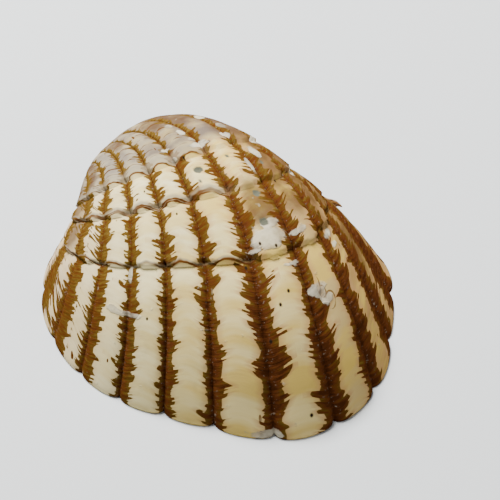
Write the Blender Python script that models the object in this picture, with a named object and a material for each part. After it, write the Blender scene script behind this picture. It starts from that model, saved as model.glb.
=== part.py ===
"""Cardita shell: one ribbed left valve, lying on its rim with the hollow side down.

The rim stands on z = 0. The beak is towards +Y, the front end of the shell towards -X and its rear
end towards +X. A shell keeps its form while it grows, so the outside follows one rule: the rim's
outline is carried back to the beak, smaller in proportion and turned about the hinge. A stage of
growth is a number from 0 at the beak to 1 at the rim, and an angle round the rim is taken about the
middle of the outline, from +X towards +Y.
"""
import math

import bmesh
import bpy
import numpy as np
from mathutils import Vector

MM = 0.001

# Outline of the rim, in millimetres from the point of the beak: its middle, and its radius at equal
# steps of angle, starting at the rear end.
RIM_MIDDLE = (11.85, -15.5)
RIM_RADII = (21.0, 17.1, 15.0, 14.6, 16.0, 18.7, 20.1, 20.5, 20.0, 19.6, 20.2, 23.7, 24.4, 22.1)

# How the outline turns back to the beak: the whole turn, how evenly it is spread over the growth,
# the tilt of the hinge's axis, and the twist of the beak towards the front.
BEAK_HEIGHT = 0.3
GROWTH_TURN = math.radians(135.0)
GROWTH_POWER = 1.09
GROWTH_EASE = math.radians(-34.5)
HINGE_TILT = math.radians(-10.8)
BEAK_TWIST = math.radians(28.6)
TWIST_EASE = math.radians(-23.1)

# Grooves between the ribs, by angle in degrees, from the front of the beak round to the rear.
GROOVE_ANGLES = (137.0, 152.5, 170.5, 192.0, 209.5, 226.2, 242.7, 259.6, 277.4,
                 295.0, 311.1, 328.5, 347.1, 364.0, 379.5, 393.5, 406.0)
GROOVE_DEPTH = 0.95
GROOVE_FADE = 9.0
BEAK_WORN = 0.15
RIB_ROUNDNESS = 0.5
RIB_STEPS = (0.0, 0.13, 0.37, 0.63, 0.87)
HINGE_STEPS = 25

# Growth ledges: the stages at which growth stopped, the step down after each, the run over which
# the shell swells out again, and the angles over which the ledges die away towards the rear.
LEDGE_STAGES = (0.538, 0.631, 0.747)
LEDGE_STEP = 0.38
LEDGE_RUN = 0.07
LEDGE_END = (345.0, 390.0)

OUTER_STAGES = (0.05, 0.10, 0.15, 0.20, 0.26, 0.32, 0.38, 0.44, 0.49, 0.534, 0.546, 0.59, 0.627,
                0.639, 0.69, 0.743, 0.756, 0.80, 0.85, 0.90, 0.95, 0.98)

# Wall: the width of the rim, the wall behind it and the notches of the inner edge. Hinge plate: its
# width, recess and teeth, where it lies by angle, and how the wall above it draws in. Then the rings
# of the rim, by their share of its width, and of the hollow, by their stage.
RIM_WIDTH = 2.0
WALL = 2.0
NOTCH_DEPTH = 0.35
INNER_LIP = 0.3
HINGE_PLATE = 4.6
HINGE_WALL = 2.3
HINGE_RECESS = 0.9
TOOTH_RISE = 0.8
LONG_TOOTH = ((58.0, 70.0), (108.0, 116.0))
LONG_TOOTH_SHARE = 0.58
SHORT_TOOTH = ((118.0, 124.0), (130.0, 136.0))
SHORT_TOOTH_SHARE = 0.80
HINGE_SPAN = ((36.0, 62.0), (132.0, 152.0))
HINGE_LIFT = 7.5
HINGE_STAGES = (0.52, 0.80)
SHELF_RISE = 1.2
SHELF_RUN = 0.12
RIM_SHARES = (0.25, 0.36, LONG_TOOTH_SHARE, SHORT_TOOTH_SHARE, 1.0)
INNER_STAGES = (0.975, 0.93, 0.86, 0.77, 0.67, 0.57, 0.48, 0.425)
INNER_END = ((0.405, 0.86), (0.396, 0.50))
INNER_POLE = 0.394

# Ligament: where it runs on the outside behind the beak, and its section.
LIGAMENT_ANGLES = (62.0, 10.5)
LIGAMENT_STAGES = (0.86, 0.872)
LIGAMENT_WIDTH = 1.5
LIGAMENT_THICKNESS = 0.55
LIGAMENT_GAP = 0.4
LIGAMENT_CURL = 0.8
LIGAMENT_CURL_FROM = 0.7
LIGAMENT_TIP = 0.2
LIGAMENT_STATIONS = 18
LIGAMENT_SIDES = 8

SHELL_COLOUR = (0.75, 0.66, 0.50)
SHELL_ROUGHNESS = 0.35
LIGAMENT_COLOUR = (0.22, 0.11, 0.04)
LIGAMENT_ROUGHNESS = 0.5


def smooth(low, high, value):
    """A soft step from 0 at low to 1 at high."""
    share = np.clip((value - low) / (high - low), 0.0, 1.0)
    return share * share * (3.0 - 2.0 * share)


def span(rise, fall, value):
    """1 between two soft ends, 0 outside them."""
    return smooth(*rise, value) * (1.0 - smooth(*fall, value))


def rim_radius(angle):
    """Radius of the outline at an angle in radians, as a closed cubic spline through the radii."""
    radii = np.array(RIM_RADII)
    count = len(radii)
    waves = 2.0 * math.pi * np.arange(count // 2 + 1) / count
    knots = np.fft.irfft(np.fft.rfft(radii) / ((2.0 + np.cos(waves)) / 3.0), count)
    place = np.mod(angle, 2.0 * math.pi) * count / (2.0 * math.pi)
    left = np.floor(place).astype(int)
    part = place - left
    weights = ((1.0 - part) ** 3 / 6.0,
               (3.0 * part ** 3 - 6.0 * part ** 2 + 4.0) / 6.0,
               (-3.0 * part ** 3 + 3.0 * part ** 2 + 3.0 * part + 1.0) / 6.0,
               part ** 3 / 6.0)
    return sum(weight * knots[(left + shift - 1) % count] for shift, weight in enumerate(weights))


def hinge_share(angle):
    """1 along the hinge line, 0 round the rest of the rim."""
    return span(*HINGE_SPAN, np.mod(np.degrees(angle), 360.0))


def carry(x, y, stage):
    """A point of the rim's plane, already at its size at that stage, carried back to the stage."""
    turn = GROWTH_TURN * (1.0 - stage ** GROWTH_POWER) + GROWTH_EASE * stage * (1.0 - stage)
    axis = np.array((math.cos(HINGE_TILT), 0.0, math.sin(HINGE_TILT)))
    point = np.stack(np.broadcast_arrays(x, y, -BEAK_HEIGHT * stage), axis=-1)
    cosine = np.cos(turn)[..., None]
    sine = -np.sin(turn)[..., None]
    along = (point @ axis)[..., None] * axis
    point = point * cosine + np.cross(axis, point) * sine + along * (1.0 - cosine)
    twist = BEAK_TWIST * (1.0 - stage) + TWIST_EASE * stage * (1.0 - stage)
    return np.stack((point[..., 0] * np.cos(twist) - point[..., 1] * np.sin(twist),
                     point[..., 0] * np.sin(twist) + point[..., 1] * np.cos(twist),
                     point[..., 2] + BEAK_HEIGHT), axis=-1)


def disc_point(angle, stage, inset):
    """A point of the outline at that stage, moved in by the inset towards the outline's middle."""
    radius = stage * rim_radius(angle) - inset
    point = carry(stage * RIM_MIDDLE[0] + radius * np.cos(angle),
                  stage * RIM_MIDDLE[1] + radius * np.sin(angle), stage)
    point[..., 2] += HINGE_LIFT * hinge_share(angle) * stage ** 2 * (1.0 - stage)
    return point


def outward(angle, stage):
    """Unit normals of the outside, level at the rim so that the rim stays on its plane."""
    step = 1e-4
    across = disc_point(angle + step, stage, 0.0) - disc_point(angle - step, stage, 0.0)
    along = disc_point(angle, stage + step, 0.0) - disc_point(angle, stage - step, 0.0)
    normal = np.cross(along, across)
    normal[..., 2] *= 1.0 - smooth(0.93, 1.0, stage)
    return normal / np.linalg.norm(normal, axis=-1, keepdims=True)


def rib_degrees(angle):
    """The angle in degrees, counted on from the first groove and past 360 along the hinge line."""
    return np.mod(np.degrees(angle) - GROOVE_ANGLES[0] + 1e-6, 360.0) + GROOVE_ANGLES[0] - 1e-6


def rib_height(angle):
    """0 in the middle of a groove, 1 on the top of a rib and along the hinge line."""
    degrees = rib_degrees(angle)
    place = np.interp(degrees, GROOVE_ANGLES, np.arange(len(GROOVE_ANGLES)))
    rib = np.abs(np.sin(math.pi * place)) ** RIB_ROUNDNESS
    start = GROOVE_ANGLES[-1]
    end = GROOVE_ANGLES[0] + 360.0
    plain = span((start, start + GROOVE_FADE), (end - GROOVE_FADE, end), degrees)
    return np.where(degrees > start, plain, rib)


def relief(angle, stage):
    """How far the surface lies inside the smooth outside: grooves and growth ledges."""
    size = stage * smooth(0.0, BEAK_WORN, stage) * (1.0 - 0.5 * hinge_share(angle))
    depth = GROOVE_DEPTH * size * (1.0 - rib_height(angle))
    step = LEDGE_STEP * (1.0 - smooth(*LEDGE_END, rib_degrees(angle)))
    for ledge in LEDGE_STAGES:
        run = np.clip(1.0 - (stage - ledge) / LEDGE_RUN, 0.0, 1.0)
        depth = depth + np.where(stage > ledge, step * run ** 2, 0.0)
    return depth


def outside(angle, stage):
    """Points of the ribbed outside."""
    depth = relief(angle, stage)[..., None]
    return disc_point(angle, stage, 0.0) - outward(angle, stage) * depth


def notch(angle):
    """Swing of the inner edge: in at the grooves, out at the ribs, none along the hinge."""
    place = np.interp(rib_degrees(angle), GROOVE_ANGLES, np.arange(len(GROOVE_ANGLES)))
    return np.cos(2.0 * math.pi * place) * (1.0 - hinge_share(angle))


def inner_inset(angle, stage):
    """Distance of the inside from the smooth outside, in the plane of the stage."""
    hinge = hinge_share(angle)
    width = WALL + (RIM_WIDTH - WALL + NOTCH_DEPTH * notch(angle)) * smooth(0.9, 1.0, stage)
    plate = HINGE_WALL + (HINGE_PLATE - HINGE_WALL) * smooth(*HINGE_STAGES, stage)
    return width * (1.0 - hinge) + plate * hinge


def tooth(angle, share):
    """The two teeth of the hinge plate: a long one behind the beak and a short one below it."""
    degrees = np.mod(np.degrees(angle), 360.0)
    if share == LONG_TOOTH_SHARE:
        return span(*LONG_TOOTH, degrees)
    if share == SHORT_TOOTH_SHARE:
        return span(*SHORT_TOOTH, degrees)
    return np.zeros_like(degrees)


def rim_ring(angle, share):
    """A ring of the flat rim, from its outer edge at share 0 to its inner edge at share 1."""
    outer = outside(angle, np.ones_like(angle))
    inner = disc_point(angle, np.ones_like(angle), inner_inset(angle, 1.0))
    ring = outer + (inner - outer) * share
    hinge = hinge_share(angle)
    raised = HINGE_RECESS * hinge * (share > RIM_SHARES[0])
    edge = INNER_LIP * (1.0 - hinge) * (share == RIM_SHARES[-1])
    ring[..., 2] = raised + edge - TOOTH_RISE * hinge * tooth(angle, share)
    return ring


def inner_ring(angle, stage, share):
    """A ring of the hollow. The share draws it in towards the middle, to close the hollow."""
    stages = np.full_like(angle, stage)
    radius = stage * rim_radius(angle)
    inset = radius - (radius - inner_inset(angle, stages)) * share
    ring = disc_point(angle, stages, inset)
    low = INNER_LIP + (HINGE_RECESS - INNER_LIP) * hinge_share(angle)
    ring[..., 2] = np.maximum(ring[..., 2], low + SHELF_RISE * min(1.0, (1.0 - stage) / SHELF_RUN))
    return ring


def columns():
    """Angles round the valve, in radians: some for each rib, then along the hinge line."""
    degrees = []
    for start, end in zip(GROOVE_ANGLES[:-1], GROOVE_ANGLES[1:]):
        degrees += [start + (end - start) * step for step in RIB_STEPS]
    first = GROOVE_ANGLES[-1]
    last = GROOVE_ANGLES[0] + 360.0
    degrees += [first + (last - first) * step / HINGE_STEPS for step in range(HINGE_STEPS)]
    return np.radians(degrees)


def closed_mesh(name, start, rings, end):
    """One closed body from a first point, rings of equal length and a last point."""
    shape = bmesh.new()
    first = shape.verts.new(Vector(start) * MM)
    rows = [[shape.verts.new(Vector(point) * MM) for point in ring] for ring in rings]
    last = shape.verts.new(Vector(end) * MM)
    count = len(rows[0])
    for step in range(count):
        ahead = (step + 1) % count
        shape.faces.new((first, rows[0][ahead], rows[0][step]))
        for upper, lower in zip(rows[:-1], rows[1:]):
            shape.faces.new((upper[step], upper[ahead], lower[ahead], lower[step]))
        shape.faces.new((last, rows[-1][step], rows[-1][ahead]))
    bmesh.ops.recalc_face_normals(shape, faces=shape.faces)
    mesh = bpy.data.meshes.new(name)
    shape.to_mesh(mesh)
    shape.free()
    mesh.shade_smooth()
    piece = bpy.data.objects.new(name, mesh)
    bpy.context.collection.objects.link(piece)
    return piece


def material(name, colour, roughness):
    """A plain Principled material, with a linear colour."""
    finish = bpy.data.materials.new(name)
    finish.use_nodes = True
    shader = finish.node_tree.nodes["Principled BSDF"]
    shader.inputs["Base Color"].default_value = (*colour, 1.0)
    shader.inputs["Roughness"].default_value = roughness
    shader.inputs["Metallic"].default_value = 0.0
    return finish


def build_valve():
    """The valve: the outside from the beak to the rim, the rim, then the hollow to its end."""
    angles = columns()
    rings = [outside(angles, np.full_like(angles, stage)) for stage in OUTER_STAGES]
    rings.append(rim_ring(angles, 0.0))
    rings += [rim_ring(angles, share) for share in RIM_SHARES]
    rings += [inner_ring(angles, stage, 1.0) for stage in INNER_STAGES]
    rings += [inner_ring(angles, stage, share) for stage, share in INNER_END]
    beak = (0.0, 0.0, BEAK_HEIGHT)
    end = carry(INNER_POLE * RIM_MIDDLE[0], INNER_POLE * RIM_MIDDLE[1], np.array(INNER_POLE))
    valve = closed_mesh("valve", beak, rings, end)
    valve.data.materials.append(material("valve_shell", SHELL_COLOUR, SHELL_ROUGHNESS))
    return valve


def build_ligament():
    """The dried ligament: a thin blade along the outside behind the beak, its rear end curled up."""
    steps = np.linspace(0.0, 1.0, LIGAMENT_STATIONS)
    angle = np.radians(LIGAMENT_ANGLES[0] + (LIGAMENT_ANGLES[1] - LIGAMENT_ANGLES[0]) * steps)
    stage = LIGAMENT_STAGES[0] + (LIGAMENT_STAGES[1] - LIGAMENT_STAGES[0]) * steps
    up = outward(angle, stage)
    lift = LIGAMENT_GAP + LIGAMENT_THICKNESS / 2.0 + LIGAMENT_CURL * smooth(LIGAMENT_CURL_FROM, 1.0, steps)
    centre = disc_point(angle, stage, 0.0) + up * lift[:, None]
    along = np.gradient(centre, axis=0)
    side = np.cross(up, along)
    side /= np.linalg.norm(side, axis=-1, keepdims=True)
    rings = []
    for step, middle, normal, across in zip(steps, centre, up, side):
        taper = LIGAMENT_TIP + (1.0 - LIGAMENT_TIP) * (1.0 - (2.0 * step - 1.0) ** 2) ** 0.25
        turns = np.arange(LIGAMENT_SIDES) * 2.0 * math.pi / LIGAMENT_SIDES
        wide = across[None, :] * np.cos(turns)[:, None] * LIGAMENT_WIDTH / 2.0 * taper
        thick = normal[None, :] * np.sin(turns)[:, None] * LIGAMENT_THICKNESS / 2.0 * taper
        rings.append(middle + wide + thick)
    ligament = closed_mesh("ligament", centre[0], rings, centre[-1])
    ligament.data.materials.append(material("ligament_brown", LIGAMENT_COLOUR, LIGAMENT_ROUGHNESS))
    return ligament


def main():
    for old in list(bpy.data.objects):
        bpy.data.objects.remove(old)
    pieces = [build_valve(), build_ligament()]
    corners = np.array([vertex.co[:] for vertex in pieces[0].data.vertices])
    low = corners.min(axis=0)
    high = corners.max(axis=0)
    centre = Vector(((low[0] + high[0]) / 2.0, (low[1] + high[1]) / 2.0, low[2]))
    for piece in pieces:
        for vertex in piece.data.vertices:
            vertex.co -= centre


main()
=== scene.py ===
"""Cardita shell: the grown surface and finish of one left valve and its dried ligament.

Laid out as an add-on and run as a script. The CAD model is the frame: the shell lies on its rim, hollow
side down, with the beak towards +Y, the front end towards -X and the rear end towards +X.
"""
from functools import partial
import math

import bpy
import numpy as np
from mathutils import Matrix, Vector


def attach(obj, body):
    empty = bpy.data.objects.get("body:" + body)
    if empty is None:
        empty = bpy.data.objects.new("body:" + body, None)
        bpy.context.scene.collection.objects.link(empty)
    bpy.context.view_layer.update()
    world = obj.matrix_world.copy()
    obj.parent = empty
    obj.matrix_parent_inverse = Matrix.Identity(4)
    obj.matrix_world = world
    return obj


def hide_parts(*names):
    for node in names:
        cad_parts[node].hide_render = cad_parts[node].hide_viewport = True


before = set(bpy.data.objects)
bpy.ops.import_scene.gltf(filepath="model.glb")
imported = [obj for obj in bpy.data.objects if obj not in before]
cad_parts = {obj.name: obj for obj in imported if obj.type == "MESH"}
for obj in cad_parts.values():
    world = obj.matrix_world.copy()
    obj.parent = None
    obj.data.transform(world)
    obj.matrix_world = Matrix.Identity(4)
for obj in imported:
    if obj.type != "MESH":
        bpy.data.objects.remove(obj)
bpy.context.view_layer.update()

bl_info = {
    "name": "Cardita shell",
    "version": (1, 0, 0),
    "blender": (4, 5, 0),
    "location": "3D View > Sidebar > Shell",
    "description": "Grows a ribbed bivalve shell and dresses it",
    "category": "Object",
}

MM = 0.001

# The rim's outline about its middle, in millimetres from the point of the beak, and where that point
# lies in the frame.
RIM_MIDDLE = (11.85, -15.5)
RIM_RADII = (21.0, 17.1, 15.0, 14.6, 16.0, 18.7, 20.1, 20.5, 20.0, 19.6, 20.2, 23.7, 24.4, 22.1)
BEAK_POINT = (-12.2562, 16.8728, 0.0)
BEAK_HEIGHT = 0.3
# Angles of the grooves round that outline, from the front of the beak on, and over how many degrees they
# fade into the plain side at the hinge. Then the stage up to which the beak is worn smooth.
GROOVE_ANGLES = (137.0, 152.5, 170.5, 192.0, 209.5, 226.2, 242.7, 259.6, 277.4,
                 295.0, 311.1, 328.5, 347.1, 364.0, 379.5, 393.5, 406.0)
GROOVE_FADE = 9.0
BEAK_WORN = 0.15
# Stages of the three growth ledges, and the angles between which they fade out at the rear.
LEDGE_STAGES = (0.538, 0.631, 0.747)
LEDGE_END = (345.0, 390.0)
# Width of the greyer lip before each ledge, where its thin brown lines lie, and how ragged they are,
# in stages.
LEDGE_LIPS = (0.024, 0.012, 0.004)
LEDGE_LINES = ((-0.0015,), (-0.0015, 0.0030), (-0.0015,))
LEDGE_RAGGED = 0.010
# Length of a rib per unit of stage, and the width of a rib per unit of stage as the surface is drawn flat
# and as it curves, in millimetres.
LENGTH_PER_STAGE = 45.0
RIB_PITCH = 4.6
CURVED_PITCH = RIB_PITCH * 1.15

# Ribs over which the grooves deepen, and how full the front and the rear ones are.
FRONT_RIBS = (3.0, 6.0)
FRONT_FULL = 0.30
REAR_FULL = 0.15

# Wall, hinge plate and teeth, as in the frame.
RIM_WIDTH = 2.0
WALL = 2.0
NOTCH_DEPTH = 0.35
INNER_LIP = 0.3
HINGE_PLATE = 4.6
HINGE_WALL = 2.3
HINGE_RECESS = 0.9
TOOTH_RISE = 0.8
LONG_TOOTH = ((58.0, 70.0), (108.0, 116.0))
SHORT_TOOTH = ((118.0, 124.0), (130.0, 136.0))
LONG_TOOTH_SHARES = ((0.36, 0.56), (0.60, 0.78))
SHORT_TOOTH_SHARES = ((0.62, 0.78), (0.82, 0.96))
HINGE_SPAN = ((36.0, 62.0), (132.0, 152.0))
HINGE_STAGES = (0.52, 0.80)
SHELF_RISE = 1.2
SHELF_RUN = 0.12

# Stain of the grooves, by groove counted from the front of the beak: how far it reaches over the ribs on
# its front side and on its rear side, as a share of a rib's width, and how dark it is. Then how its reach
# and its darkness change with the stage, from the beak to the rim.
STAIN_GROOVES = (0.0, 2.0, 4.0, 6.0, 8.0, 10.0, 12.0, 14.0, 16.0)
STAIN_FRONT = (0.15, 0.10, 0.10, 0.10, 0.15, 0.25, 0.50, 0.40, 0.25)
STAIN_REAR = (0.35, 0.50, 0.30, 0.20, 0.20, 0.20, 0.25, 0.25, 0.15)
STAIN_DARK = (0.45, 0.45, 0.55, 0.70, 0.95, 0.95, 0.90, 0.75, 0.55)
STAIN_STAGES = (0.40, 0.55, 0.75, 0.90, 0.985)
STAIN_REACH = (0.80, 0.90, 0.95, 1.10, 1.00)
STAIN_DEPTH = (0.45, 0.60, 0.75, 1.05, 0.95)
# How far its edge wanders and its teeth stand out, in millimetres.
STAIN_WANDER = 0.8
TOOTH_LENGTH = 0.62
# Farther than any mark reaches, in millimetres.
FAR_OFF = 9.0
# How far the fine lines bend over a rib, in stages, and how many noise cells fit in a metre.
LINE_BEND = -0.005
MOTTLE_SCALE = 420.0
GRAIN_SCALE = 1100.0
ARAGONITE_IOR = 1.55

# Brown and mauve tints of worn ribs: rib place, stage, half width in ribs, half height in stages.
TINTS = (
    (8.30, 0.350, 0.90, 0.120), (9.40, 0.470, 0.80, 0.110), (9.50, 0.610, 0.70, 0.060),
    (9.45, 0.680, 0.45, 0.030), (8.60, 0.670, 0.50, 0.050), (9.90, 0.560, 0.60, 0.080),
    (10.30, 0.640, 0.50, 0.120), (3.45, 0.400, 0.60, 0.150), (2.50, 0.600, 0.70, 0.200),
    (5.50, 0.340, 0.60, 0.100), (7.50, 0.380, 0.50, 0.060), (11.3, 0.800, 0.50, 0.120),
    (11.6, 0.560, 1.30, 0.200), (12.6, 0.760, 1.10, 0.160), (9.60, 0.380, 1.20, 0.120),
)

# Lime crust and worn white patches: rib place, stage, half width in ribs, half height in stages.
CRUSTS = (
    (8.47, 0.724, 0.42, 0.018), (8.60, 0.703, 0.25, 0.008), (8.15, 0.739, 0.20, 0.004),
    (9.25, 0.728, 0.35, 0.005), (7.78, 0.430, 0.13, 0.012), (7.82, 0.468, 0.13, 0.016),
    (7.90, 0.500, 0.12, 0.008), (9.15, 0.430, 0.16, 0.016), (9.25, 0.485, 0.20, 0.012),
    (8.95, 0.515, 0.20, 0.010), (9.35, 0.575, 0.16, 0.020), (8.87, 0.597, 0.09, 0.022),
    (4.95, 0.838, 0.60, 0.005), (4.60, 0.833, 0.20, 0.006), (9.20, 0.815, 0.22, 0.012),
    (9.35, 0.832, 0.20, 0.010), (10.28, 0.762, 0.20, 0.007), (10.30, 0.782, 0.16, 0.006),
    (7.90, 0.993, 0.30, 0.008), (8.80, 0.768, 0.22, 0.004), (10.6, 0.640, 0.25, 0.010),
    (10.2, 0.540, 0.20, 0.012), (7.00, 0.500, 0.18, 0.008), (7.05, 0.535, 0.14, 0.005),
    (8.00, 0.520, 0.35, 0.010), (5.00, 0.765, 0.07, 0.020),
)
# Pits: rib place, stage, radius and depth in millimetres.
PITS = (
    (7.54, 0.577, 0.50, 0.30), (7.46, 0.603, 0.24, 0.18), (8.46, 0.565, 0.30, 0.22),
    (8.63, 0.649, 0.40, 0.32), (8.50, 0.699, 0.42, 0.28), (6.54, 0.655, 0.18, 0.12),
    (9.30, 0.600, 0.30, 0.22),
)
# Scars inside: rib place, stage, half width in ribs and half height in stages of the two muscles; stage of
# the mantle's edge.
MUSCLE_SCARS = ((1.9, 0.66, 0.95, 0.085), (13.4, 0.68, 1.05, 0.085))
MANTLE_LINE = 0.82
# Black specks: rib place and stage.
SPECKS = (
    (8.27, 0.7295), (8.58, 0.738), (7.88, 0.760), (8.375, 0.8185), (8.58, 0.803), (6.54, 0.655),
    (5.69, 0.5915), (8.10, 0.865), (8.60, 0.970), (5.55, 0.8405), (9.35, 0.640), (7.35, 0.541),
)

# Where the ligament begins and ends: angle in degrees and stage.
LIGAMENT_ANGLES = (62.0, 10.5)
LIGAMENT_STAGES = (0.86, 0.872)

# Rows and columns of the chart: stages of the outside, shares of the rim's width, stages of the inside.
OUTER_STAGES = np.concatenate((np.linspace(0.015, 0.25, 24, endpoint=False), np.linspace(0.25, 1.0, 185)))
RIM_SHARES = (0.04, 0.12, 0.20, 0.25, 0.31, 0.36, 0.47, 0.58, 0.69, 0.80, 0.90, 1.0)
INNER_STAGES = np.linspace(0.985, 0.425, 34)
INNER_END = ((0.418, 0.96), (0.411, 0.91), (0.405, 0.86), (0.400, 0.70), (0.396, 0.50), (0.395, 0.25))
INNER_POLE = 0.394
RIB_COLUMNS = 19
HINGE_COLUMNS = 45
COLUMN_CROWDING = 0.6
# Steps along the surface that give its direction outwards.
ANGLE_STEP = math.radians(0.5)
STAGE_STEP = 0.002

# Growth lines: how quickly each set changes round the shell and along it, and its height on the ribs and
# in the grooves. Then the same spread for the crumbs of crust.
GROWTH_LINES = (((0.8, 0.8, 1.1), 0.35, 1.6), ((3.0, 3.0, 0.24), 3.6, 3.0), ((6.0, 6.0, 2.1), 0.2, 3.4))
CRUMB_SPREAD = (18.0, 18.0, 2.2)
# Facts of the chart that the material of the outside reads.
VALVE_MARKS = ("place", "stage", "stain", "tone", "crust", "tint", "pit")

# Fine brown lines over the old part: stage and strength. Rings of worm tubes: rib place, stage and radius
# in millimetres.
EARLY_LINES = ((0.36, 0.5), (0.395, 0.7), (0.43, 0.9), (0.462, 0.7), (0.487, 1.0), (0.51, 0.5))
WORM_RINGS = ((9.28, 0.822, 0.36), (9.10, 0.806, 0.75), (9.42, 0.838, 0.55))

# Camera: what it looks at, its direction in degrees, its distance and its lens, as in the photograph.
TARGET = (4.996, 6.431, 0.0)
CAMERA_AZIMUTH = -10.537
CAMERA_ELEVATION = 50.046
CAMERA_DISTANCE = 233.3
LENS = 139.25

# Kinds of node: a type, or a type with the settings that make the kind.
COMBINE = "ShaderNodeCombineXYZ"
SEPARATE = "ShaderNodeSeparateXYZ"
NOISE = "ShaderNodeTexNoise"
NOISE_2D = ("ShaderNodeTexNoise", {"noise_dimensions": "2D"})
RANGE = "ShaderNodeMapRange"
EASE = ("ShaderNodeMapRange", {"interpolation_type": "SMOOTHSTEP"})
MIX = ("ShaderNodeMix", {"data_type": "RGBA"})
RAMP = "ShaderNodeValToRGB"
READ = "ShaderNodeAttribute"
NAMED = ("GeometryNodeInputNamedAttribute", {"data_type": "FLOAT"})
ABSOLUTE, ADD, COSINE, DIVIDE, FLOOR, FLOORED_MODULO, GREATER_THAN = (
    ("ShaderNodeMath", {"operation": name})
    for name in ("ABSOLUTE", "ADD", "COSINE", "DIVIDE", "FLOOR", "FLOORED_MODULO", "GREATER_THAN"))
LESS_THAN, MAXIMUM, MINIMUM, MULTIPLY, MULTIPLY_ADD, POWER, SINE, SUBTRACT = (
    ("ShaderNodeMath", {"operation": name})
    for name in ("LESS_THAN", "MAXIMUM", "MINIMUM", "MULTIPLY", "MULTIPLY_ADD", "POWER", "SINE", "SUBTRACT"))
VECTOR_ADD, VECTOR_SUBTRACT, VECTOR_MULTIPLY, SCALE, CROSS, NORMALIZE, DISTANCE, LENGTH = (
    ("ShaderNodeVectorMath", {"operation": name})
    for name in ("ADD", "SUBTRACT", "MULTIPLY", "SCALE", "CROSS_PRODUCT", "NORMALIZE", "DISTANCE", "LENGTH"))


def colour(code):
    """Linear colour, with alpha, of an sRGB hex value."""
    parts = [int(code[place:place + 2], 16) / 255.0 for place in (1, 3, 5)]
    return (*[part / 12.92 if part <= 0.04045 else ((part + 0.055) / 1.055) ** 2.4 for part in parts], 1.0)


def result(node):
    """The first output of a node that is in use."""
    return next(socket for socket in node.outputs if socket.enabled)


def add_node(tree, kind, inputs=(), stops=(), **settings):
    """Adds a node with its settings, the values or links of its inputs, and the stops of its ramp."""
    type_name, own = kind if isinstance(kind, tuple) else (kind, {})
    node = tree.nodes.new(type_name)
    for name, value in {**own, **settings}.items():
        setattr(node, name, value)
    for socket, value in (inputs.items() if isinstance(inputs, dict) else enumerate(inputs)):
        if isinstance(value, bpy.types.Node):
            value = result(value)
        if isinstance(value, bpy.types.NodeSocket):
            tree.links.new(value, node.inputs[socket])
        else:
            node.inputs[socket].default_value = value
    for index, (place, shade) in enumerate(stops):
        element = node.color_ramp.elements[index] if index < 2 else node.color_ramp.elements.new(place)
        element.position = place
        element.color = shade
    return node


def smooth(low, high, value):
    """A soft step from 0 at low to 1 at high."""
    share = np.clip((value - low) / (high - low), 0.0, 1.0)
    return share * share * (3.0 - 2.0 * share)


def span(rise, fall, value):
    """1 between two soft ends, 0 outside them."""
    return smooth(*rise, value) * (1.0 - smooth(*fall, value))


def rim_radius(angle):
    """Radius of the outline at an angle in radians, as a closed cubic spline through the radii."""
    radii = np.array(RIM_RADII)
    count = len(radii)
    waves = 2.0 * math.pi * np.arange(count // 2 + 1) / count
    knots = np.fft.irfft(np.fft.rfft(radii) / ((2.0 + np.cos(waves)) / 3.0), count)
    place = np.mod(angle, 2.0 * math.pi) * count / (2.0 * math.pi)
    left = np.floor(place).astype(int)
    part = place - left
    weights = ((1.0 - part) ** 3 / 6.0,
               (3.0 * part ** 3 - 6.0 * part ** 2 + 4.0) / 6.0,
               (-3.0 * part ** 3 + 3.0 * part ** 2 + 3.0 * part + 1.0) / 6.0,
               part ** 3 / 6.0)
    return sum(weight * knots[(left + shift - 1) % count] for shift, weight in enumerate(weights))


def hinge_share(angle):
    """1 along the hinge line, 0 round the rest of the rim."""
    return span(*HINGE_SPAN, np.mod(np.degrees(angle), 360.0))


def inner_inset(angle, stage, place):
    """Distance of the inside from the smooth outside, notched towards the rim and wide at the hinge."""
    hinge = hinge_share(angle)
    notch = NOTCH_DEPTH * np.cos(2.0 * math.pi * place) * (1.0 - hinge)
    width = WALL + (RIM_WIDTH - WALL + notch) * smooth(0.9, 1.0, stage)
    plate = HINGE_WALL + (HINGE_PLATE - HINGE_WALL) * smooth(*HINGE_STAGES, stage)
    return width * (1.0 - hinge) + plate * hinge


def columns():
    """Angles in radians and rib places round the valve, closer together towards the grooves."""
    steps = np.arange(RIB_COLUMNS) / RIB_COLUMNS
    steps = steps - COLUMN_CROWDING * np.sin(2.0 * math.pi * steps) / (2.0 * math.pi)
    ribs = len(GROOVE_ANGLES) - 1
    place = np.concatenate([rib + steps for rib in range(ribs)]
                           + [ribs + np.arange(HINGE_COLUMNS) / HINGE_COLUMNS])
    degrees = np.interp(place, np.arange(ribs + 2), GROOVE_ANGLES + (GROOVE_ANGLES[0] + 360.0,))
    return np.radians(degrees), place


def stain_edge(place, stage):
    """Millimetres that a point lies inside the plain edge of the nearest stain, and how dark it is."""
    inside = np.full(place.shape, -FAR_OFF)
    dark = np.zeros(place.shape)
    pitch = CURVED_PITCH * np.maximum(stage, 0.2)
    grown = np.interp(stage, STAIN_STAGES, STAIN_REACH)
    deep = np.interp(stage, STAIN_STAGES, STAIN_DEPTH)
    for groove in range(len(GROOVE_ANGLES)):
        front, rear, tone = (np.interp(groove, STAIN_GROOVES, values)
                             for values in (STAIN_FRONT, STAIN_REAR, STAIN_DARK))
        shift = place - groove
        depth = (np.where(shift < 0.0, front, rear) * grown - np.abs(shift)) * pitch
        dark = np.where(depth > inside, tone * deep, dark)
        inside = np.maximum(inside, depth)
    return inside, dark


def patches(place, stage, marks):
    """1 in the middle of each patch, falling to 0 at its edge."""
    amount = np.zeros(place.shape)
    for middle, height, wide, high in marks:
        far = np.hypot((place - middle) / wide, (stage - height) / high)
        amount = np.maximum(amount, 1.0 - smooth(0.45, 1.25, far))
    return amount


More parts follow.
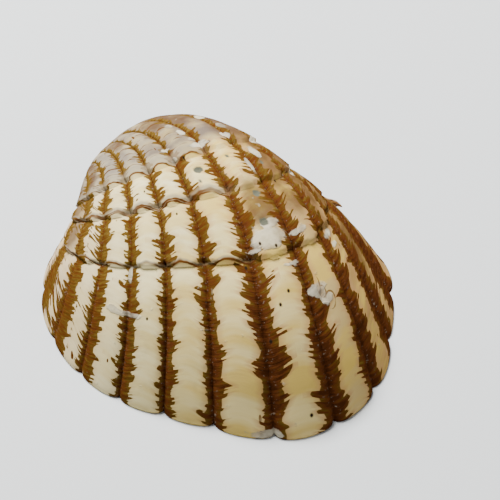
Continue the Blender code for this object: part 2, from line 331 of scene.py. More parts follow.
def pit_depth(place, stage):
    """Depth of the pits, in millimetres."""
    depth = np.zeros(place.shape)
    for middle, height, radius, deep in PITS:
        far = np.hypot((place - middle) * CURVED_PITCH * height, (stage - height) * LENGTH_PER_STAGE)
        depth = np.maximum(depth, deep * (1.0 - smooth(0.35, 1.0, far / radius)))
    return depth


def valve_chart():
    """The growth chart of the valve: a flat closed mesh whose points know where on the shell they lie."""
    angle, place = columns()
    hinge = hinge_share(angle)
    rows = [(stage, np.zeros_like(angle), 0.0, -1000.0, 0.0) for stage in OUTER_STAGES]
    edge = inner_inset(angle, 1.0, place)
    degrees = np.mod(np.degrees(angle), 360.0)
    for share in RIM_SHARES:
        teeth = np.maximum(span(*LONG_TOOTH, degrees) * span(*LONG_TOOTH_SHARES, share),
                           span(*SHORT_TOOTH, degrees) * span(*SHORT_TOOTH_SHARES, share))
        rise = hinge * (HINGE_RECESS * smooth(0.25, 0.36, share) - TOOTH_RISE * teeth)
        rise = rise + INNER_LIP * (1.0 - hinge) * smooth(0.75, 1.0, share)
        rows.append((1.0, edge * share, share, -1000.0, rise))
    low = INNER_LIP + (HINGE_RECESS - INNER_LIP) * hinge
    for stage, draw in [(stage, 1.0) for stage in INNER_STAGES] + list(INNER_END):
        radius = stage * rim_radius(angle)
        inset = radius - (radius - inner_inset(angle, stage, place)) * draw
        rows.append((stage, inset, 1.0, low + SHELF_RISE * min(1.0, (1.0 - stage) / SHELF_RUN), 0.0))
    stage, inset, share, floor, rise = (np.array([np.broadcast_to(row[part], angle.shape) for row in rows])
                                        for part in range(5))
    places = np.broadcast_to(place, stage.shape)
    stain, tone = stain_edge(places, stage)
    ribs = len(GROOVE_ANGLES) - 1
    degrees = np.where(place > ribs, np.degrees(angle), 0.0)
    end = GROOVE_ANGLES[0] + 360.0
    plain = span((GROOVE_ANGLES[-1], GROOVE_ANGLES[-1] + GROOVE_FADE), (end - GROOVE_FADE, end), degrees)
    wave = np.where(place > ribs, plain ** 2, np.abs(np.sin(math.pi * place)))
    full = FRONT_FULL + (REAR_FULL - FRONT_FULL) * smooth(*FRONT_RIBS, place)
    wave = wave + full * (1.0 - wave)
    ledge = 1.0 - smooth(*LEDGE_END, np.degrees(angle))
    ahead = angle + ANGLE_STEP
    facts = {
        "angle": angle, "outline": rim_radius(angle) * MM, "outline_ahead": rim_radius(ahead) * MM,
        "hinge": hinge, "hinge_ahead": hinge_share(ahead), "wave": wave, "ledge": ledge,
        "stage": stage, "inset": inset * MM, "share": share, "floor": floor * MM, "rise": rise * MM,
        "stain": stain, "tone": tone, "crust": patches(places, stage, CRUSTS),
        "tint": patches(places, stage, TINTS),
        "pit": pit_depth(places, stage) * MM,
    }
    facts = {name: np.broadcast_to(values, stage.shape) for name, values in facts.items()}
    poles = {name: (values[0].mean(), values[-1].mean()) for name, values in facts.items()}
    poles["stage"] = (0.0, INNER_POLE)
    poles["inset"] = (0.0, INNER_POLE * rim_radius(0.0) * MM)
    poles["outline"] = poles["outline_ahead"] = (rim_radius(0.0) * MM, rim_radius(0.0) * MM)
    return closed_chart("valve_chart", facts, poles, place)


def closed_chart(name, facts, poles, place):
    """A closed mesh of rows and columns between two poles, each point with its facts as attributes."""
    rows, count = next(iter(facts.values())).shape
    index = 1 + np.arange(rows * count).reshape(rows, count)
    ahead = np.roll(index, -1, axis=1)
    last = rows * count + 1
    quads = np.stack((index[:-1], index[1:], ahead[1:], ahead[:-1]), axis=-1).reshape(-1, 4)
    top = np.stack((np.zeros(count, int), index[0], ahead[0]), axis=-1)
    bottom = np.stack((np.full(count, last), ahead[-1], index[-1]), axis=-1)
    mesh = bpy.data.meshes.new(name)
    spread = np.stack(np.meshgrid(np.arange(count), np.arange(rows)), axis=-1).reshape(-1, 2) * MM
    points = np.zeros((last + 1, 3))
    points[1:-1, :2] = spread
    mesh.from_pydata(points.tolist(), [], quads.tolist() + top.tolist() + bottom.tolist())
    for fact, values in facts.items():
        column = np.concatenate(([poles[fact][0]], values.ravel(), [poles[fact][1]]))
        mesh.attributes.new(fact, "FLOAT", "POINT").data.foreach_set("value", column.astype(np.float32))
    following = np.append(place[1:], math.ceil(place[-1]))
    sides = np.stack((place, place, following, following), axis=-1)
    ends = np.stack(((place + following) / 2.0, place, following), axis=-1)
    corner = np.concatenate((np.broadcast_to(sides, (rows - 1, count, 4)).ravel(), ends.ravel(),
                             ends[:, (0, 2, 1)].ravel()))
    mesh.attributes.new("place", "FLOAT", "CORNER").data.foreach_set("value", corner.astype(np.float32))
    chart = bpy.data.objects.new(name, mesh)
    bpy.context.scene.collection.objects.link(chart)
    return chart


def new_tree(name, sizes):
    """A Geometry Nodes tree with a named input for each size, what adds its nodes, and its two ends."""
    tree = bpy.data.node_groups.new(name, "GeometryNodeTree")
    tree.is_modifier = True
    tree.interface.new_socket("Geometry", in_out="INPUT", socket_type="NodeSocketGeometry")
    for size in sizes:
        tree.interface.new_socket(size, in_out="INPUT", socket_type="NodeSocketFloat")
    tree.interface.new_socket("Geometry", in_out="OUTPUT", socket_type="NodeSocketGeometry")
    add = partial(add_node, tree)
    return tree, add, add("NodeGroupInput"), add("NodeGroupOutput")


def grown_place(add, sizes, angle, stage, outline, inset, hinge):
    """Nodes of the growth rule: the outline at a stage, turned about the hinge line and twisted."""
    radius = add(SUBTRACT, (add(MULTIPLY, (stage, outline)), inset))
    flat = []
    for middle, wave in zip(RIM_MIDDLE, (COSINE, SINE)):
        side = add(MULTIPLY, (add(wave, (angle,)), radius))
        flat.append(add(MULTIPLY_ADD, (stage, middle * MM, side)))
    flat.append(add(MULTIPLY, (stage, -BEAK_HEIGHT * MM)))
    left = add(SUBTRACT, (1.0, stage))
    grown = add(POWER, (stage, sizes["Growth power"]))
    ease = add(MULTIPLY, (stage, left))
    turn = add(MULTIPLY_ADD, (sizes["Growth turn"], add(SUBTRACT, (1.0, grown)),
                              add(MULTIPLY, (sizes["Growth ease"], ease))))
    twist = add(MULTIPLY_ADD, (sizes["Beak twist"], left, add(MULTIPLY, (sizes["Twist ease"], ease))))
    axis = add(COMBINE, (add(COSINE, (sizes["Hinge tilt"],)), 0.0, add(SINE, (sizes["Hinge tilt"],))))
    back = add("ShaderNodeVectorRotate", {"Vector": add(COMBINE, flat), "Axis": axis,
                                          "Angle": add(MULTIPLY, (turn, -1.0))}, rotation_type="AXIS_ANGLE")
    wound = add("ShaderNodeVectorRotate", {"Vector": back, "Angle": twist}, rotation_type="Z_AXIS")
    lift = add(MULTIPLY, (add(MULTIPLY, (ease, stage)), add(MULTIPLY, (sizes["Hinge lift"], hinge))))
    beak = add(COMBINE, (BEAK_POINT[0] * MM, BEAK_POINT[1] * MM, add(ADD, (lift, BEAK_HEIGHT * MM))))
    return add(VECTOR_ADD, (wound, beak))


def growth(add, sizes):
    """The grown place of each point of a chart, and the direction outwards, level at the rim."""
    fact = {name: add(NAMED, {"Name": name}).outputs["Attribute"]
            for name in ("angle", "stage", "outline", "outline_ahead", "hinge", "hinge_ahead", "inset")}
    angle, stage, outline, hinge = (fact[name] for name in ("angle", "stage", "outline", "hinge"))
    here = grown_place(add, sizes, angle, stage, outline, fact["inset"], hinge)
    bare = grown_place(add, sizes, angle, stage, outline, 0.0, hinge)
    beside = add(ADD, (angle, ANGLE_STEP))
    beside = grown_place(add, sizes, beside, stage, fact["outline_ahead"], 0.0, fact["hinge_ahead"])
    older = add(SUBTRACT, (stage, STAGE_STEP))
    older = add(MAXIMUM, (older, STAGE_STEP))
    older = grown_place(add, sizes, angle, older, outline, 0.0, hinge)
    across = add(VECTOR_SUBTRACT, (beside, bare))
    along = add(VECTOR_SUBTRACT, (bare, older))
    normal = add(CROSS, (along, across))
    level = add(EASE, {"Value": stage, "From Min": 0.93, "From Max": 1.0, "To Min": 1.0, "To Max": 0.0})
    level = add(COMBINE, (1.0, 1.0, level))
    normal = add(VECTOR_MULTIPLY, (normal, level))
    return here, add(NORMALIZE, (normal,))


def groove_relief(add, sizes, wave, size):
    """How much a point lies in a groove, from 0 on the rib to 1, and the depth that this gives."""
    square = add(POWER, (wave, 2.0))
    width = add(POWER, (sizes["Groove width"], 2.0))
    rib = add(DIVIDE, (square, add(ADD, (square, width))))
    rib = add(MULTIPLY, (rib, add(ADD, (width, 1.0))))
    groove = add(SUBTRACT, (1.0, rib))
    depth = add(MULTIPLY, (add(MULTIPLY, (groove, size)), sizes["Groove depth"]))
    slit = add(EASE, {"Value": wave, "From Min": 0.26, "From Max": 0.0})
    slit = add(MULTIPLY, (slit, size))
    return groove, add(MULTIPLY_ADD, (slit, sizes["Groove slit"], depth))


def ledge_relief(add, sizes, fact, around, line, depth):
    """Adds the step down and the slow swelling out again where growth stopped."""
    wobble = add(NOISE, {"Vector": around, "Scale": 4.0, "Detail": 2.0})
    ragged = add(MULTIPLY_ADD, (add(SUBTRACT, (wobble, 0.5)), LEDGE_RAGGED, line))
    for ledge in LEDGE_STAGES:
        past = add(SUBTRACT, (ragged, ledge))
        run = add(MULTIPLY_ADD, (add(DIVIDE, (past, sizes["Ledge run"])), -1.0, 1.0), use_clamp=True)
        step = add(MULTIPLY, (add(POWER, (run, 2.0)), add(GREATER_THAN, (past, 0.0))))
        step = add(MULTIPLY, (step, fact["ledge"]))
        depth = add(MULTIPLY_ADD, (step, sizes["Ledge step"], depth))
    return depth


def valve_relief(add, sizes):
    """Nodes for how far the outside lies inside its smooth form: grooves, ledges, growth lines, pits."""
    fact = {name: add(NAMED, {"Name": name}).outputs["Attribute"]
            for name in ("angle", "stage", "hinge", "wave", "ledge", "share", "crust", "pit")}
    stage = fact["stage"]
    worn = add(EASE, {"Value": stage, "From Max": BEAK_WORN})
    size = add(MULTIPLY, (stage, worn))
    size = add(MULTIPLY, (size, add(MULTIPLY_ADD, (fact["hinge"], -0.5, 1.0))))
    groove, depth = groove_relief(add, sizes, fact["wave"], size)
    sag = add(MULTIPLY_ADD, (fact["wave"], sizes["Line sag"], stage))
    line = add(SUBTRACT, (sag, add(MULTIPLY, (sizes["Line sag"], 0.6))))
    around = add(COMBINE, (add(COSINE, (fact["angle"],)), add(SINE, (fact["angle"],)),
                           add(MULTIPLY, (line, LENGTH_PER_STAGE))))
    depth = ledge_relief(add, sizes, fact, around, line, depth)
    # Growth lines lie along the old rims: fine ones about a millimetre apart, and slower swells.
    for spread, plain, grooved in GROWTH_LINES:
        lines = add(NOISE, {"Vector": add(VECTOR_MULTIPLY, (around, spread)), "Scale": 1.0, "Detail": 1.0})
        lines = add(SUBTRACT, (lines, 0.5))
        lines = add(MULTIPLY, (lines, add(MULTIPLY_ADD, (groove, grooved - plain, plain))))
        lines = add(MULTIPLY, (lines, size))
        depth = add(MULTIPLY_ADD, (lines, sizes["Growth lines"], depth))
    # Lime crust stands proud in crumbs, and pits go in.
    crumbs = add(VECTOR_MULTIPLY, (around, CRUMB_SPREAD))
    crumbs = add(NOISE, {"Vector": crumbs, "Scale": 1.0, "Detail": 3.0})
    crumbs = add(MULTIPLY, (crumbs, fact["crust"]))
    depth = add(MULTIPLY_ADD, (crumbs, add(MULTIPLY, (sizes["Crust height"], -1.0)), depth))
    depth = add(ADD, (fact["pit"], depth))
    # The outer edge of the rim is rounded, and the rim's flat has no relief.
    edge = add(RANGE, {"Value": stage, "From Min": 0.988, "From Max": 1.0})
    edge = add(POWER, (edge, 2.0))
    depth = add(MULTIPLY_ADD, (edge, sizes["Edge round"], depth))
    return add(MULTIPLY, (depth, add(SUBTRACT, (1.0, fact["share"]))))


def valve_tree(sizes, outer, inner):
    """The tree that grows the valve from its chart and gives it the finish of each side."""
    tree, add, start, finish = new_tree("Shell growth", sizes)
    size = {name: start.outputs[name] for name in sizes}
    here, outward = growth(add, size)
    depth = add(MULTIPLY, (valve_relief(add, size), -1.0))
    moved = add(SCALE, {0: outward, "Scale": depth})
    placed = add(SEPARATE, (add(VECTOR_ADD, (here, moved)),))
    fact = {name: add(NAMED, {"Name": name}).outputs["Attribute"] for name in ("floor", "rise", "share")}
    high = add(MAXIMUM, (placed.outputs["Z"], fact["floor"]))
    high = add(ADD, (high, fact["rise"]))
    place = add(COMBINE, (placed.outputs["X"], placed.outputs["Y"], high))
    grown = add("GeometryNodeSetPosition", {"Geometry": start, "Position": place})
    within = add(GREATER_THAN, (fact["share"], 0.01))
    dressed = add("GeometryNodeSetMaterial", {"Geometry": grown, "Material": outer})
    dressed = add("GeometryNodeSetMaterial", {"Geometry": dressed, "Selection": within, "Material": inner})
    real = add("GeometryNodeRealizeInstances", {"Geometry": dressed})
    tree.links.new(real.outputs[0], finish.inputs[0])
    return tree


def made_plain(chart, tree, sizes, name, keep):
    """Runs the tree on the chart and returns its result as a plain mesh object with the kept attributes."""
    modifier = chart.modifiers.new("Growth", "NODES")
    modifier.node_group = tree
    for item in tree.interface.items_tree:
        if item.item_type == "SOCKET" and item.in_out == "INPUT" and item.name in sizes:
            modifier[item.identifier] = float(sizes[item.name])
    depsgraph = bpy.context.evaluated_depsgraph_get()
    mesh = bpy.data.meshes.new_from_object(chart.evaluated_get(depsgraph), preserve_all_data_layers=True,
                                           depsgraph=depsgraph)
    chart.modifiers.remove(modifier)
    bpy.data.objects.remove(chart)
    mesh.name = name
    kept = ("material_index", *keep)
    for attribute in [a.name for a in mesh.attributes if a.name not in kept and not a.is_required]:
        mesh.attributes.remove(mesh.attributes[attribute])
    mesh.shade_smooth()
    piece = bpy.data.objects.new(name, mesh)
    bpy.context.scene.collection.objects.link(piece)
    return piece


def new_material(name):
    """An empty node material, what adds its nodes, and its Principled shader."""
    material = bpy.data.materials.new(name)
    material.use_nodes = True
    return material, partial(add_node, material.node_tree), material.node_tree.nodes["Principled BSDF"]


def plug(source, shader, name):
    """Links a node to an input of the shader."""
    shader.id_data.links.new(result(source), shader.inputs[name])


def shell_places(add):
    """Where each point lies on the shell, as its mesh says, and the two noises that several looks share."""
    here = {name: add(READ, attribute_name=name).outputs["Fac"] for name in VALVE_MARKS}
    wave = add(COSINE, (add(MULTIPLY, (here["place"], 2.0 * math.pi)),))
    here["line"] = add(MULTIPLY_ADD, (wave, LINE_BEND, here["stage"]))
    here["along"] = add(MULTIPLY, (here["line"], LENGTH_PER_STAGE))
    off = add(FLOORED_MODULO, (add(ADD, (here["place"], 0.5)), 1.0))
    here["off"] = add(ABSOLUTE, (add(SUBTRACT, (off, 0.5)),))
    where = add("ShaderNodeTexCoord").outputs["Object"]
    here["mottle"] = add(NOISE, {"Vector": where, "Scale": MOTTLE_SCALE, "Detail": 3.0})
    here["grain"] = add(NOISE, {"Vector": where, "Scale": GRAIN_SCALE, "Detail": 3.0})
    return here


def shell_noise(add, here, across, along, detail, roughness=0.5):
    """Noise that runs with the ribs: how quickly it changes per rib across and per millimetre along."""
    where = add(COMBINE, (add(MULTIPLY, (here["place"], across)), add(MULTIPLY, (here["along"], along)),
                          0.0))
    return add(NOISE_2D, {"Vector": where, "Scale": 1.0, "Detail": detail, "Roughness": roughness})


def stain_reach(add, here):
    """How deep inside the toothed stain a point lies, and whether it is stained."""
    place, along = here["place"], here["along"]
    # Teeth of the stain are about 0.4 mm apart, and slant up from the growth lines on the front ribs.
    side = add(FLOOR, (add(MULTIPLY, (place, 2.0)),))
    slant = add(RANGE, {"Value": place, "From Min": 2.5, "From Max": 4.5, "To Min": 3.4, "To Max": 0.3})
    slant = add(MULTIPLY_ADD, (here["off"], slant, along))
    close = add(MULTIPLY_ADD, (add(GREATER_THAN, (side, 6.5)), 0.9, 2.0))
    comb = add(COMBINE, (add(MULTIPLY_ADD, (place, 1.6, add(MULTIPLY, (side, 5.7)))),
                         add(MULTIPLY, (slant, close)), 0.0))
    comb = add(NOISE_2D, {"Vector": comb, "Scale": 1.0, "Detail": 1.4})
    comb = add(EASE, {"Value": comb, "From Min": 0.44, "From Max": 0.54})
    reach = add(COMBINE, (add(MULTIPLY_ADD, (side, 3.1, 40.0)), add(MULTIPLY, (along, 0.9)), 0.0))
    reach = add(NOISE_2D, {"Vector": reach, "Scale": 1.0, "Detail": 1.0})
    wander = add(MULTIPLY_ADD, (add(SUBTRACT, (reach, 0.5)), STAIN_WANDER, here["stain"]))
    reach = add(RANGE, {"Value": reach, "From Min": 0.30, "From Max": 0.75, "To Min": 0.10, "To Max": 1.20})
    # They are longer on the front ribs, and short on the oldest part near the beak.
    longer = add(RANGE, {"Value": place, "From Min": 3.0, "From Max": 4.5, "To Min": 1.7, "To Max": 1.0})
    grown = add(RANGE, {"Value": here["stage"], "From Min": 0.30, "From Max": 0.55, "To Min": 0.25,
                        "To Max": 1.0})
    longer = add(MULTIPLY, (longer, grown))
    teeth = add(MULTIPLY, (comb, add(MULTIPLY, (reach, longer))))
    stain = add(MULTIPLY_ADD, (teeth, TOOTH_LENGTH, wander))
    return stain, add(EASE, {"Value": stain, "From Min": 0.04, "From Max": 0.13})


def stain_colour(add, here, stain, finish):
    """Brown of the stain: a lighter fringe, darker towards the middle, with streaks along the lines; painted
    shade along the slit in the middle, and painted glints.
    """
    streaks = shell_noise(add, here, 3.0, 3.6, 3.0, 0.6)
    deep = add(RANGE, {"Value": stain, "From Min": 0.05, "From Max": 0.9, "To Min": 0.33, "To Max": 1.0})
    shade = add(MULTIPLY, (here["tone"], deep))
    shade = add(MULTIPLY_ADD, (add(SUBTRACT, (streaks, 0.5)), 1.15, shade))
    # Painted shade: the stain is darker along the narrow slit in the middle of each groove.
    slit = add(RANGE, {"Value": here["off"], "From Min": 0.075, "From Max": 0.02})
    slit = add(MULTIPLY, (slit, add(RANGE, {"Value": streaks, "From Min": 0.40, "From Max": 0.62})))
    shade = add(MULTIPLY_ADD, (slit, 0.30, shade))
    brown = add(RAMP, {"Fac": shade}, stops=((0.0, finish.stain_fringe), (0.3, finish.stain_gold),
                                             (0.55, finish.stain_brown), (0.8, finish.stain_dark),
                                             (1.0, finish.stain_black)))
    # Painted glints, standing in for highlights, among flecks of dry crust a quarter of a millimetre across,
    # along the middle of the grooves.
    glints_and_crust_flecks = add(COMBINE, (add(MULTIPLY, (here["place"], 15.0)), add(MULTIPLY, (here["along"], 4.5)), 3.0))
    glints_and_crust_flecks = add(NOISE, {"Vector": glints_and_crust_flecks, "Scale": 1.0, "Detail": 3.0, "Roughness": 0.7})
    glints_and_crust_flecks = add(RANGE, {"Value": glints_and_crust_flecks, "From Min": 0.61, "From Max": 0.69, "To Max": 0.75})
    glints_and_crust_flecks = add(MULTIPLY, (glints_and_crust_flecks, add(RANGE, {"Value": here["off"], "From Min": 0.14, "From Max": 0.06})))
    return add(MIX, {0: glints_and_crust_flecks, 6: brown, 7: finish.crust_grey})


def rib_colour(add, here, stain, bands, finish):
    """Colour of the ribs: pinkish in front, whiter in the middle, yellower and browner to the rear, with
    peach and painted shade on their sides beside the stain.
    """
    place, mottle = here["place"], here["mottle"]
    share = add(MULTIPLY, (place, 1.0 / len(GROOVE_ANGLES)))
    upper = add(RAMP, {"Fac": share}, stops=((0.12, finish.rib_pink), (0.30, finish.rib_white),
                                             (0.40, finish.rib_white), (0.45, finish.rib_cream),
                                             (0.49, finish.rib_yellow), (0.56, finish.rib_tan)))
    lower = add(RAMP, {"Fac": share}, stops=((0.12, finish.rib_pink), (0.30, finish.rib_white),
                                             (0.37, finish.rib_cream), (0.50, finish.rib_yellow),
                                             (0.61, finish.rib_tan)))
    late = add(EASE, {"Value": here["line"], "From Min": 0.62, "From Max": 0.84})
    rib = add(MIX, {0: late, 6: upper, 7: lower})
    rear = add(RANGE, {"Value": place, "From Min": 4.5, "From Max": 8.0, "To Min": 0.25, "To Max": 1.0})
    banded = add(RANGE, {"Value": bands, "From Min": 0.44, "From Max": 0.60, "To Max": 0.85})
    rib = add(MIX, {0: add(MULTIPLY, (banded, rear)), 6: rib, 7: finish.rib_band})
    striae = shell_noise(add, here, 0.8, 2.6, 3.0, 0.65)
    striae = add(RANGE, {"Value": striae, "From Min": 0.50, "From Max": 0.75, "To Max": 0.15})
    rib = add(MIX, {0: striae, 6: rib, 7: finish.rib_band})
    # Peach beside the stain, partly painted shade of the ribs' sides towards the grooves; grey and mauve on
    # the oldest part, brown where the outer layer is worn.
    peach_and_side_shade = add(RANGE, {"Value": stain, "From Min": -0.55, "From Max": 0.05})
    rear = add(RANGE, {"Value": place, "From Min": 5.0, "From Max": 8.0, "To Min": 0.25, "To Max": 0.65})
    rib = add(MIX, {0: add(MULTIPLY, (peach_and_side_shade, rear)), 6: rib, 7: finish.rib_edge})
    old = add(RANGE, {"Value": here["line"], "From Min": 0.54, "From Max": 0.50})
    old = add(MULTIPLY, (old, add(RANGE, {"Value": mottle, "From Min": 0.3, "From Max": 0.6,
                                          "To Min": 0.65})))
    beak = add(RAMP, {"Fac": share}, stops=((0.28, finish.beak_grey), (0.41, finish.beak_mauve)))
    rib = add(MIX, {0: old, 6: rib, 7: beak})
    worn = add(MULTIPLY_ADD, (mottle, 1.4, here["tint"]))
    worn = add(EASE, {"Value": worn, "From Min": 0.75, "From Max": 1.9, "To Max": 0.85})
    return add(MIX, {0: worn, 6: rib, 7: finish.worn_brown})


def ledge_lines(add, here, rib, stained, bands, finish):
    """Thin brown lines of the old part and the ledges, under greyer lips, fading towards the rear."""
    wobble = shell_noise(add, here, 2.2, 0.2, 2.0)
    ragged = add(MULTIPLY_ADD, (add(SUBTRACT, (wobble, 0.5)), LEDGE_RAGGED, here["line"]))
    front = add(RANGE, {"Value": here["place"], "From Min": 8.2, "From Max": 7.7})
    broken = add(RANGE, {"Value": bands, "From Min": 0.30, "From Max": 0.50, "To Min": 0.35})
    for early, strength in EARLY_LINES:
        near = add(ABSOLUTE, (add(SUBTRACT, (ragged, early)),))
        near = add(MULTIPLY_ADD, (wobble, -0.008, near))
        thin = add(RANGE, {"Value": near, "From Min": -0.0022, "From Max": -0.0038, "To Max": strength})
        rib = add(MIX, {0: add(MULTIPLY, (thin, front)), 6: rib, 7: finish.stain_brown})
    for ledge, lip, lines in zip(LEDGE_STAGES, LEDGE_LIPS, LEDGE_LINES):
        past = add(SUBTRACT, (ragged, ledge))
        grey = add(RANGE, {"Value": past, "From Min": -lip * 1.3, "From Max": -lip * 0.8})
        grey = add(MULTIPLY, (grey, add(LESS_THAN, (past, 0.0))))
        grey = add(MULTIPLY, (add(MULTIPLY, (grey, front)), 0.7))
        rib = add(MIX, {0: grey, 6: rib, 7: finish.crust_grey})
        stained = add(MULTIPLY, (stained, add(MULTIPLY_ADD, (grey, -0.8, 1.0))))
        for shift in lines:
            near = add(ABSOLUTE, (add(ADD, (past, shift)),))
            width = add(MULTIPLY_ADD, (wobble, 0.010, -0.0012))
            thin = add(RANGE, {"Value": near, "From Min": width, "From Max": 0.0012})
            thin = add(MULTIPLY, (thin, add(MULTIPLY, (front, broken))))
            rib = add(MIX, {0: thin, 6: rib, 7: finish.stain_brown})
    return rib, stained


def crusted(add, here, base, finish):
    """Lays the chalky crust, ragged at its edge, and the grey of the pits over a colour."""
    crusty = add(MULTIPLY_ADD, (here["grain"], 1.9, here["crust"]))
    crusty = add(RANGE, {"Value": crusty, "From Min": 1.30, "From Max": 1.55, "To Max": 0.70})
    chalky = add(MULTIPLY_ADD, (here["crust"], 0.12, here["mottle"]))
    chalky = add(RANGE, {"Value": chalky, "From Min": 0.45, "From Max": 0.66})
    chalk = add(MIX, {0: chalky, 6: finish.crust_grey, 7: finish.crust_white})
    base = add(MIX, {0: crusty, 6: base, 7: chalk})
    pitted = add(RANGE, {"Value": here["pit"], "From Min": 0.06 * MM, "From Max": 0.16 * MM})
    return add(MIX, {0: pitted, 6: base, 7: finish.pit_grey}), crusty


def specked(add, here, base, finish):
    """Lays black specks a quarter of a millimetre across, and the rings of worm tubes, over a colour."""
    flat = add(COMBINE, (add(MULTIPLY, (here["place"], RIB_PITCH)),
                         add(MULTIPLY, (here["stage"], LENGTH_PER_STAGE)), 0.0))
    ring = FAR_OFF
    for across, up, radius in WORM_RINGS:
        far = add(DISTANCE, (flat, (across * RIB_PITCH, up * LENGTH_PER_STAGE, 0.0)))
        far = add(ABSOLUTE, (add(SUBTRACT, (far, radius)),))
        far = add(MULTIPLY_ADD, (here["grain"], 0.30, far))
        ring = add(MINIMUM, (ring, far))
    ring = add(RANGE, {"Value": ring, "From Min": 0.21, "From Max": 0.14, "To Max": 0.8})
    base = add(MIX, {0: ring, 6: base, 7: finish.stain_brown})
    nearest = FAR_OFF
    for across, up in SPECKS:
        far = add(DISTANCE, (flat, (across * RIB_PITCH, up * LENGTH_PER_STAGE, 0.0)))
        nearest = add(MINIMUM, (nearest, far))
    specks = add(RANGE, {"Value": nearest, "From Min": 0.17, "From Max": 0.08})
    return add(MIX, {0: specks, 6: base, 7: finish.speck_black})


def outside_material(finish):
    """The weathered outside of the shell."""
    # Aragonite laid down in layers along the old rims, worn by the sea: hard and smooth, with the brown of
    # the dried outer skin and its dirt left in the grooves, painted shade along the slits in their middle
    # and painted glints there, and chalky crust that stayed matt.
    material, add, shader = new_material("Aragonite shell, naturally grown and sea worn")
    here = shell_places(add)
    bands = shell_noise(add, here, 0.35, 0.42, 3.0, 0.6)
    stain, stained = stain_reach(add, here)
    rib = rib_colour(add, here, stain, bands, finish)
    rib, stained = ledge_lines(add, here, rib, stained, bands, finish)
    base = add(MIX, {0: stained, 6: rib, 7: stain_colour(add, here, stain, finish)})
    base, crusty = crusted(add, here, base, finish)
    base = specked(add, here, base, finish)
    plug(base, shader, "Base Color")
    rough = add(RANGE, {"Value": here["mottle"], "From Min": 0.3, "From Max": 0.7, "To Min": 0.40,
                        "To Max": 0.60})
    rough = add(MULTIPLY_ADD, (crusty, 0.3, rough))
    plug(rough, shader, "Roughness")
    shader.inputs["IOR"].default_value = ARAGONITE_IOR
    # It has no shine, which at grazing angles would turn the brown walls of the grooves grey.
    shader.inputs["Specular IOR Level"].default_value = 0.0
    grit = add(MULTIPLY, (here["grain"], crusty))
    relief = add(MULTIPLY_ADD, (stained, 0.8, 0.15))
    relief = add(MULTIPLY_ADD, (shell_noise(add, here, 1.2, 4.0, 3.0, 0.6), relief, grit))
    bump = add("ShaderNodeBump", {"Height": relief, "Strength": 0.6, "Distance": 0.16 * MM})
    plug(bump, shader, "Normal")
    return material


def inside_material(finish):
    """The smooth inside of the shell."""
    # The inner layer is plain porcelain white, polished by the mantle, with duller growth bands.
    material, add, shader = new_material("Aragonite inner layer, naturally polished")
    stage = add(READ, attribute_name="stage").outputs["Fac"]
    spots = add(NOISE, {"Vector": add("ShaderNodeTexCoord").outputs["Object"], "Scale": 160.0,
                        "Detail": 4.0})
    shade = add(MULTIPLY_ADD, (add(SUBTRACT, (spots, 0.5)), 0.35, stage))
    base = add(RAMP, {"Fac": shade}, stops=((0.40, finish.inside_cream), (0.80, finish.inside_white),
                                            (0.93, finish.inside_white), (1.0, finish.inside_cream)))
    # Duller scars of the two closing muscles, and of the edge of the mantle between them.
    place = add(READ, attribute_name="place").outputs["Fac"]
    mantle = add(ABSOLUTE, (add(SUBTRACT, (stage, MANTLE_LINE)),))
    mantle = add(RANGE, {"Value": mantle, "From Min": 0.007, "From Max": 0.003})
    scarred = add(MULTIPLY, (mantle, add(ABSOLUTE, (add(SUBTRACT, (place, 7.5)),))))
    scarred = add(MULTIPLY, (mantle, add(LESS_THAN, (scarred, 5.5))))
    for rib, height, wide, high in MUSCLE_SCARS:
        across = add(DIVIDE, (add(SUBTRACT, (place, rib)), wide))
        along = add(DIVIDE, (add(SUBTRACT, (stage, height)), high))
        far = add(LENGTH, (add(COMBINE, (across, along, 0.0)),))
        scar = add(RANGE, {"Value": far, "From Min": 1.05, "From Max": 0.95, "To Max": 0.8})
        scarred = add(MAXIMUM, (scarred, scar))
    base = add(MIX, {0: scarred, 6: base, 7: finish.inside_scar})
    plug(base, shader, "Base Color")
    rough = add(RANGE, {"Value": spots, "From Min": 0.3, "From Max": 0.7, "To Min": 0.18, "To Max": 0.34})
    plug(rough, shader, "Roughness")
    shader.inputs["IOR"].default_value = ARAGONITE_IOR
    lines = add(COMBINE, (add(MULTIPLY, (stage, LENGTH_PER_STAGE)), 0.0, 0.0))
    lines = add(NOISE, {"Vector": lines, "Scale": 1.6, "Detail": 2.0})
    bump = add("ShaderNodeBump", {"Height": lines, "Strength": 0.3, "Distance": 0.0002})
    plug(bump, shader, "Normal")
    return material


def ligament_material(finish):
    """The dried ligament."""
    # Conchiolin, the horny stuff of the hinge: dried brown, fibrous, glossy where it is thin.
    material, add, shader = new_material("Conchiolin ligament, dried")
    where = add("ShaderNodeTexCoord").outputs["Object"]
    fibres = add("ShaderNodeMapping", {"Vector": where, "Rotation": (0.0, 0.0, math.radians(25.0)),
                                       "Scale": (300.0, 2400.0, 2400.0)})
    fibres = add(NOISE, {"Vector": fibres, "Scale": 1.0, "Detail": 3.0})
    base = add(RAMP, {"Fac": fibres}, stops=((0.25, finish.ligament_dark), (0.5, finish.ligament_brown),
                                             (0.75, finish.ligament_gold)))
    plug(base, shader, "Base Color")
    shader.inputs["Roughness"].default_value = 0.38
    bump = add("ShaderNodeBump", {"Height": fibres, "Strength": 0.7, "Distance": 0.0001})
    plug(bump, shader, "Normal")
    return material


